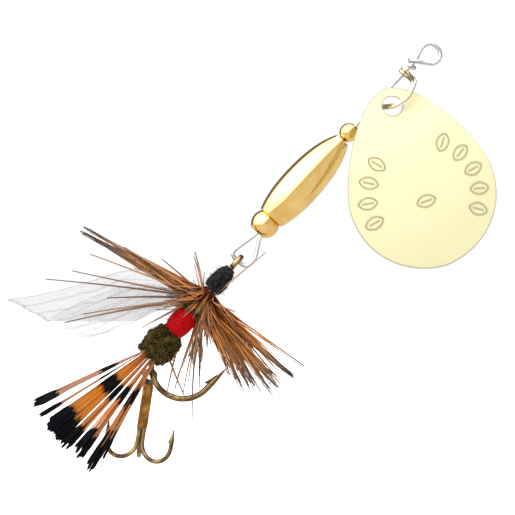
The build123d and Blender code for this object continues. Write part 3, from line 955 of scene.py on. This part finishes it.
# hackle: bunches of stiff barbs, each from a root on the stem to a tip in the XZ plane
hackle = {
    "stem": (-57.0, -53.7, 1.0),
    # root x, z; tip x, z; count; spread at root and tip; depth at tip; shortest share of the length
    "bunches": [
        (0.3, -55.6, -19.4, -60.7, 56, 2.7, 0.09, 0.3, 0.84),
        (0.4, -55.2, -22, -60.4, 9, 1.6, 0.12, 0.3, 0.92),
        (0.3, -55.6, -22.1, -61.3, 12, 1.4, 0.1, 0.3, 0.92),
        (0, -56, -17.5, -59.9, 44, 2.6, 0.24, 0.6, 0.5), (-0.2, -55.9, -12, -58.6, 34, 3, 0.5, 0.9, 0.5),
        (2.2, -55, 21.2, -52.6, 5, 1.6, 0.15, 0.6, 0.9), (2.2, -55.4, 22.4, -55.3, 26, 2.4, 0.35, 1, 0.8),
        (2.2, -55.8, 21.3, -58.6, 64, 2.6, 0.95, 1.6, 0.78), (2, -56, 18.6, -61, 10, 2, 0.3, 1.2, 0.85),
        (2, -56, 17, -61.6, 46, 2.6, 0.6, 1.6, 0.8), (1.8, -56.2, 14, -62.4, 14, 2.2, 0.7, 1.8, 0.8),
        (2, -55.8, 13, -57.8, 70, 3, 1.5, 2.2, 0.6), (1.6, -56.4, 8.2, -61.6, 22, 2, 1, 2, 0.55),
        (1.4, -56.6, 5.6, -62.6, 12, 1.8, 0.9, 2.4, 0.6), (0.8, -56.6, -4.5, -61.5, 16, 2, 1, 1.8, 0.5),
        (1.6, -56.8, 8.4, -66.6, 18, 1.6, 1.3, 2, 0.6)],
    # single fibres: root x, z; tip x, z; depth at tip; sideways bow as a share of the length
    "strays": [
        (0, -56, -20.4, -70.7, -3.4, 0.03), (0, -55.8, -18.2, -66.8, -3.2, -0.02),
        (0, -55.8, -17.9, -62.8, -2.6, 0.02), (0, -55.4, -14.6, -58.2, -1, 0.01),
        (-0.2, -56.4, -10.9, -66.2, -2.9, 0.05), (0, -56.6, -12, -70.8, -2.9, 0.04),
        (0, -56.6, -13.3, -73.9, -3.1, 0.06), (-0.2, -57, -3.4, -66, -2.6, 0.02),
        (0, -55.2, -8.6, -55.4, -1.2, 0.04), (0.2, -55, -5.4, -50.8, -2, 0.1),
        (0.3, -55, -5, -51.5, -1.7, 0.12), (1.8, -54.6, 3.3, -42.9, -1.4, -0.02),
        (2, -57, 9, -69.4, -1.6, 0.06), (1.8, -57, 12.9, -71.4, -1.9, 0.1),
        (1.8, -57, 6.9, -64.5, -2.2, 0.03), (2.6, -63.5, 7.1, -71.4, -1.5, 0.02),
        (2.9, -66.5, 10, -69.8, -1.5, 0.05), (1.9, -57, 8.4, -67.6, 1.6, 0.08),
        (2, -57, 10.4, -67, 1.2, 0.04), (2.4, -55, 6.2, -53.6, -2.2, 0.04),
        (1.9, -56.8, 7.6, -70.2, 1.9, 0.07)],
    "radial": 150, "radialLong": (3.2, 8.4), "barb": (0.085, 0.15), "strayFade": 0.7, "strayExtra": 0.07,
}


def makeHackle():
    h = hackle
    low, high, ring = h["stem"]
    groups = []
    for x0, z0, x1, z1, count, rootSpread, tipSpread, depth, least in h["bunches"]:
        side = np.cross(unit(np.array([x1 - x0, 0, z1 - z0])), (0, 1, 0))
        share = uniform(least, 1, count)[:, None]
        start = np.array([x0, 0, z0]) + side * uniform(-0.5, 0.5, count)[:, None] * rootSpread
        start[:, 1] = uniform(-1, 1, count)
        end = np.array([x1, 0, z1]) + side * normal(0, tipSpread, count)[:, None]
        end[:, 1] = normal(0, depth, count)
        groups.append((start, start + (end - start) * share, side * normal(0, 0.018, count)[:, None]))
    grouped = sum(len(k[0]) for k in groups)
    x0, z0, x1, z1, depth, bow = np.array(h["strays"]).T
    side = np.cross(unit(stacked(x1 - x0, 0, z1 - z0)), (0, 1, 0))
    groups.append((stacked(x0, np.copysign(0.9, depth), z0), stacked(x1, depth, z1), side * bow[:, None]))
    count = h["radial"]
    a = uniform(0, turn, count)
    start = polar(ring, a, uniform(low + 0.2, high - 0.2, count), shankX)
    out = unit(stacked(np.cos(a) * 0.55, np.sin(a), normal(-0.45, 0.3, count)))
    end = start + out * uniform(*h["radialLong"], count)[:, None]
    groups.append((start, end, normal(0, 0.06, (count, 3))))
    roots, tips, bows = (np.concatenate(k) for k in zip(*groups))
    long = np.linalg.norm(tips - roots, axis=1)
    # way is pulled back by the bow, so that the barb still ends at its tip
    way = (tips - roots) / long[:, None] - bows
    dull = np.concatenate([np.clip(normal(0.05, 0.15, grouped), 0, 1),
                           np.full(len(h["strays"]), h["strayFade"]), np.full(count, 0.2)])
    thick = uniform(*h["barb"], len(roots)) + h["strayExtra"] * (dull > h["strayFade"] - 0.1)
    barbs = fibres(roots, way, bows, long, thick, lambda s: 1 - 0.6 * s**1.5, 12, 4)
    tone, dull = (k.repeat(barbs[3].shape[1]) for k in (uniform(0, 1, len(roots)), dull))
    addPiece("hackle_barbs", [barbs[:3]], "fly", "hackle", "brown_hackle",
             {"run": barbs[3], "tone": tone, "fade": dull})
    stem = wrapped(low, high, lambda s: ring + 0.12 * np.sin(math.pi * s), 0.62, 0.16)
    flat = {"run": np.full(len(stem[0]), 0.08), "tone": np.full(len(stem[0]), 0.4)}
    addPiece("hackle_stem_wound", [stem], "fly", "hackle_stem", "feather_quill", flat)


makeHackle()
print("hackle made")

# tail: tippet barbs in clumps of one flat fan, with swollen dark tips
tail = {
    "root": (0.85, -1.35, -68.0), "lean": 0.14, "rootSpread": 1.1, "barb": (0.085, 0.15),
    # first and last angle from straight down, shortest, longest, count, fade and shift of the bar
    "clumps": [(-24, -20.8, 19.6, 21, 12, 0.85, 0.07), (-16, -14.9, 19.9, 20.8, 4, 0.5, 0.04),
               (-11.6, -3.4, 19, 21.2, 66, 0, 0), (-1.5, 0.5, 20, 21.5, 8, 0.2, 0),
               (3.4, 6.8, 18.6, 21.2, 15, 0.35, 0.02), (9.6, 13.8, 16.6, 21.8, 17, 0.3, 0.03)],
}


def makeTail():
    t = tail
    angle, long, fade, barUp = np.concatenate([
        [np.linspace(first, last, count) + normal(0, 0.25, count), uniform(least, most, count),
         np.clip(faded + normal(0, 0.12, count), 0, 1), up + normal(0, 0.01, count)]
        for first, last, least, most, count, faded, up in t["clumps"]], 1)
    count, q = len(angle), np.radians(angle)
    depth = uniform(-0.35, 0.35, count)
    way = unit(stacked(np.sin(q), -t["lean"] + 0.012 * depth, -np.cos(q)))
    start = t["root"] + stacked(np.clip(angle / 14, -1, 1) * t["rootSpread"], depth, 0)
    bend = stacked(normal(0, 0.012, count), normal(0, 0.008, count), 0)

    def thick(s):
        # thin at the root, wider at the bar and widest at the dark tip
        bar, tip = np.exp(-(((s - 0.42) / 0.07) ** 2)), np.clip((s - 0.8) / 0.05, 0, 1)
        return (0.65 + 0.35 * np.clip(s / 0.25, 0, 1) + 0.35 * bar + tip) * np.where(s > 0.985, 0.5, 1)

    barbs = fibres(start, way, bend, long, uniform(*t["barb"], count), thick, 44, 5)
    s = barbs[3]
    # the bar's place moves, the black tip's does not
    run = np.clip(s + barUp[:, None] * np.clip((0.75 - s) / 0.2, 0, 1) * np.clip(s / 0.1, 0, 1), 0, 1)
    tone, fade = (k.repeat(s.shape[1]) for k in (uniform(0, 1, count), fade))
    addPiece("tail_tippets", [barbs[:3]], "fly", "tail", "tippet_feather",
             {"run": run, "tone": tone, "fade": fade})


makeTail()
print("tail made")

# wings: two curved quill slips, between edges through a few stations from root to tip
wings = {
    "near_wing": (-1, [(0.2, -57), (-6, -58.2), (-10.6, -59.6), (-14.4, -65.2), (-22.7, -77.4)],
                  [(0, -57.5), (-2.6, -60.6), (-4.3, -64.4), (-6.5, -69.6), (-10.4, -74.4)]),
    "far_wing": (1, [(0.2, -57), (-5, -58.6), (-9.5, -62), (-13.5, -69), (-15.8, -75.4)],
                 [(0, -57.5), (-2.6, -60.4), (-4.6, -64), (-6.9, -69.8), (-9.6, -74.2)]),
    "rows": 120, "cols": 40, "halfThickness": 0.03,
}


def smoothLine(stations, s):
    # a polynomial through the stations, which lie at even steps of s
    run = np.linspace(0, 1, len(stations))
    return stacked(*(np.polyval(np.polyfit(run, k, len(stations) - 1), s) for k in zip(*stations)))


def makeWing(node):
    side, upper, lower = wings[node]
    rows, cols, half = wings["rows"], wings["cols"], wings["halfThickness"]
    s, v = np.linspace(0, 1, rows)[:, None], np.linspace(0, 1, cols)
    flat = smoothLine(upper, s) * (1 - v[:, None]) + smoothLine(lower, s) * v[:, None]
    ragged = 0.12 * np.sin(v * 61) + 0.15 * np.sin(v * 23 + 1)
    flat = flat + (s**8 * ragged)[..., None] * unit(flat[-1, cols // 2] - flat[-cols // 2, cols // 2])
    y = side * (0.95 + 0.075 * np.abs(flat[..., 0] - 0.2) + 0.5 * np.sin(math.pi * v) * s * (1 - s))
    y = y + 0.03 * np.sin(v * 60 + s * 9)
    x, z = flat[..., 0], flat[..., 1]
    points = np.concatenate([stacked(x, y + d, z).reshape(-1, 3) for d in (-half, half)])
    # two sheets joined round their edge by a wall
    index = np.arange(rows * cols).reshape(rows, cols)
    rim = np.concatenate([index[0], index[1:, -1], index[-1, -2::-1], index[-2:0:-1, 0]])
    after, back = np.roll(rim, -1), rows * cols
    sheet = gridFaces(rows, cols, aroundCols=False)
    faces = np.concatenate([sheet, sheet[:, ::-1] + back, stacked(rim, rim + back, after + back, after)])
    uv = np.tile(stacked(s, v).reshape(-1, 2), (2, 1))
    addPiece(node + "_quill", [(points, faces)], "fly", node, "white_quill", uv=uv)


makeWing("near_wing")
makeWing("far_wing")
print("wings made")
